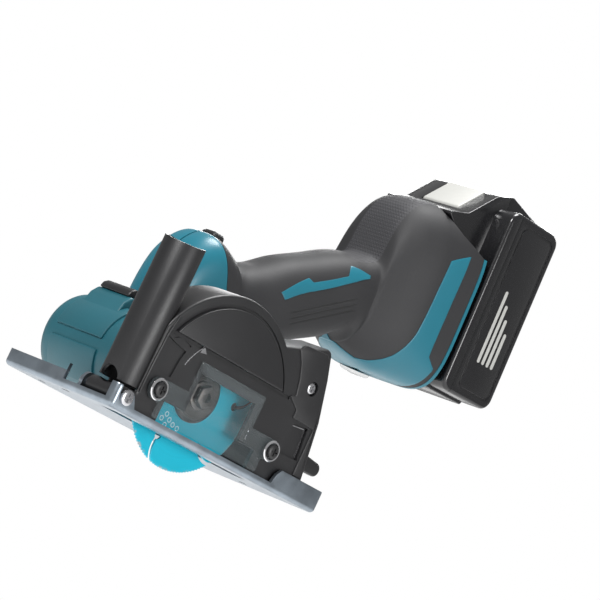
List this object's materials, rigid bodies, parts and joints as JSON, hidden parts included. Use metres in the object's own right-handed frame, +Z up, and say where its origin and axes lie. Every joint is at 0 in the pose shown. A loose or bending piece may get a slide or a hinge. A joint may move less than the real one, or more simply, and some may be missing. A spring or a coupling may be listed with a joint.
{
  "type": "cordless circular saw",
  "caption": "One-handed cordless circular saw with a tilting steel base, a blade case with a dust nozzle, a rubber grip and a slide-on battery.",
  "frame": {"origin": "middle of the base's flat sole, on the sole", "axes": "+X rearward along the cut, from the blade towards the battery; +Y from the blade towards the motor; +Z up from the sole"},
  "size_m": [0.3188, 0.1396, 0.2225],
  "materials": {
    "zinc_steel": "bright zinc plate",
    "steel": "machined",
    "dark_steel": "black oxide",
    "blade_coating": "cyan coating",
    "black_nylon": "fine moulded grain",
    "battery_black": "satin gloss",
    "teal_plastic": "satin",
    "soft_rubber": "fine grain",
    "clear_plastic": "clear polycarbonate",
    "button_grey": "satin",
    "gear_alloy": "die cast",
    "lamination": "stacked sheet",
    "copper_winding": "laminations with enamelled copper",
    "circuit_board": "solder resist",
    "cell_metal": "wrapped round cells"
  },
  "bodies": {
    "base": {"base_plate": "zinc_steel", "depth_guide": "zinc_steel"},
    "body": {"blade_case": "black_nylon", "clear_cover": "clear_plastic", "dust_nozzle": "black_nylon", "cover_screw_front": "dark_steel", "cover_screw_rear": "dark_steel", "case_screw": "steel", "pivot_screw_near": "steel", "pivot_screw_far": "steel", "depth_bolt": "steel", "gear_housing": "gear_alloy", "spindle_front_bearing": "steel", "spindle_rear_bearing": "steel", "motor_front_bearing": "steel", "motor_rear_bearing": "steel", "stator": "copper_winding", "motor_housing": "teal_plastic", "housing_left": "teal_plastic", "housing_right": "teal_plastic", "grip_rubber": "soft_rubber", "grip_inlay_left": "teal_plastic", "grip_inlay_right": "teal_plastic", "housing_screw_1": "steel", "housing_screw_2": "steel", "housing_screw_3": "steel", "switch_unit": "black_nylon", "lamp_lens": "clear_plastic", "controller": "circuit_board", "terminal_block": "black_nylon"},
    "blade_drive": {"saw_blade": "blade_coating", "inner_flange": "dark_steel", "outer_flange": "dark_steel", "clamp_bolt": "steel", "spindle": "steel", "driven_gear": "steel"},
    "rotor": {"motor_shaft": "steel", "rotor_core": "lamination", "fan": "black_nylon", "pinion": "steel"},
    "lock_off": {"lock_off_button": "black_nylon"},
    "paddle": {"switch_paddle": "black_nylon"},
    "spindle_lock": {"spindle_lock_button": "black_nylon"},
    "lever": {"depth_lever": "black_nylon"},
    "battery": {"battery_cover": "battery_black", "battery_tray": "battery_black", "cell_pack": "cell_metal"},
    "release": {"battery_button": "button_grey"}
  },
  "joints": [
    {"name": "depth_hinge", "type": "hinge", "parent": "base", "child": "body", "pos_m": [-0.0695, -0.0235, 0.007], "axis": [0, -1, 0], "range_deg": [0, 14]},
    {"name": "blade_spin", "type": "hinge", "parent": "body", "child": "blade_drive", "pos_m": [-0.0165, -0.0235, 0.0248], "axis": [0, 1, 0], "continuous": true},
    {"name": "rotor_spin", "type": "hinge", "parent": "body", "child": "rotor", "pos_m": [-0.0065, -0.0235, 0.029], "axis": [0, 1, 0], "continuous": true},
    {"name": "lock_off_press", "type": "slide", "parent": "body", "child": "lock_off", "axis": [0, 0, -1], "range_m": [0, 0.0025], "stiffness_N_per_m": 600, "springref_m": -0.003},
    {"name": "switch_squeeze", "type": "hinge", "parent": "body", "child": "paddle", "pos_m": [0.06878, 0.0615, 0.06584], "axis": [0, -1, 0], "range_deg": [0, 4], "stiffness_Nm_per_rad": 1.2, "springref_deg": -8.59},
    {"name": "spindle_lock_press", "type": "slide", "parent": "body", "child": "spindle_lock", "axis": [0, 0, -1], "range_m": [0, 0.003], "stiffness_N_per_m": 700, "springref_m": -0.003},
    {"name": "depth_lever_turn", "type": "hinge", "parent": "body", "child": "lever", "pos_m": [0.04735, -0.0115, 0.02342], "axis": [0, -1, 0], "range_deg": [-15, 45]},
    {"name": "battery_slide", "type": "slide", "parent": "body", "child": "battery", "axis": [-0.0436, 0, 0.999], "range_m": [0, 0.07]},
    {"name": "battery_release", "type": "slide", "parent": "battery", "child": "release", "axis": [0.0436, 0, -0.999], "range_m": [0, 0.003], "stiffness_N_per_m": 900, "springref_m": -0.003}
  ],
  "couplings": [
    {"joint": "rotor_spin", "follows": "blade_spin", "ratio": -2.1}
  ]
}
